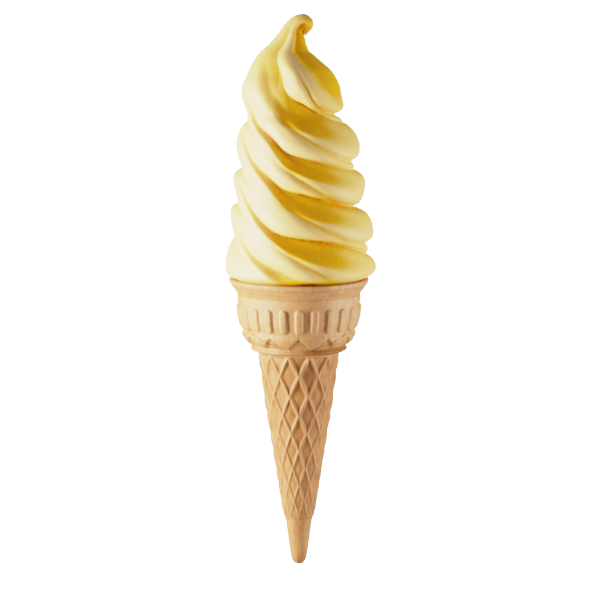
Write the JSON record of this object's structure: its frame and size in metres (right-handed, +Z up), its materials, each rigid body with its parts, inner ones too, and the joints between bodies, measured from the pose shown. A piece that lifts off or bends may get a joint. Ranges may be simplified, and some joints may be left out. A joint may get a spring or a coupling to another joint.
{
  "type": "soft serve ice cream cone",
  "caption": "Tall twist of custard yellow soft serve with a curled tip, in a moulded wafer cone with a flared rim, lying on its back.",
  "frame": {"origin": "centre of the bounding box's bottom face, on the table the cone lies on", "axes": "+Y towards the swirl's curled top, -Y towards the wafer's tip, +Z up through the side that is best to look at"},
  "size_m": [0.0614, 0.225, 0.0605],
  "materials": {
    "soft_serve": "soft satin, moist",
    "wafer_cone": "dry, matt, baked"
  },
  "bodies": {
    "root": {"soft_serve": "soft_serve", "wafer_cone": "wafer_cone"}
  },
  "joints": []
}
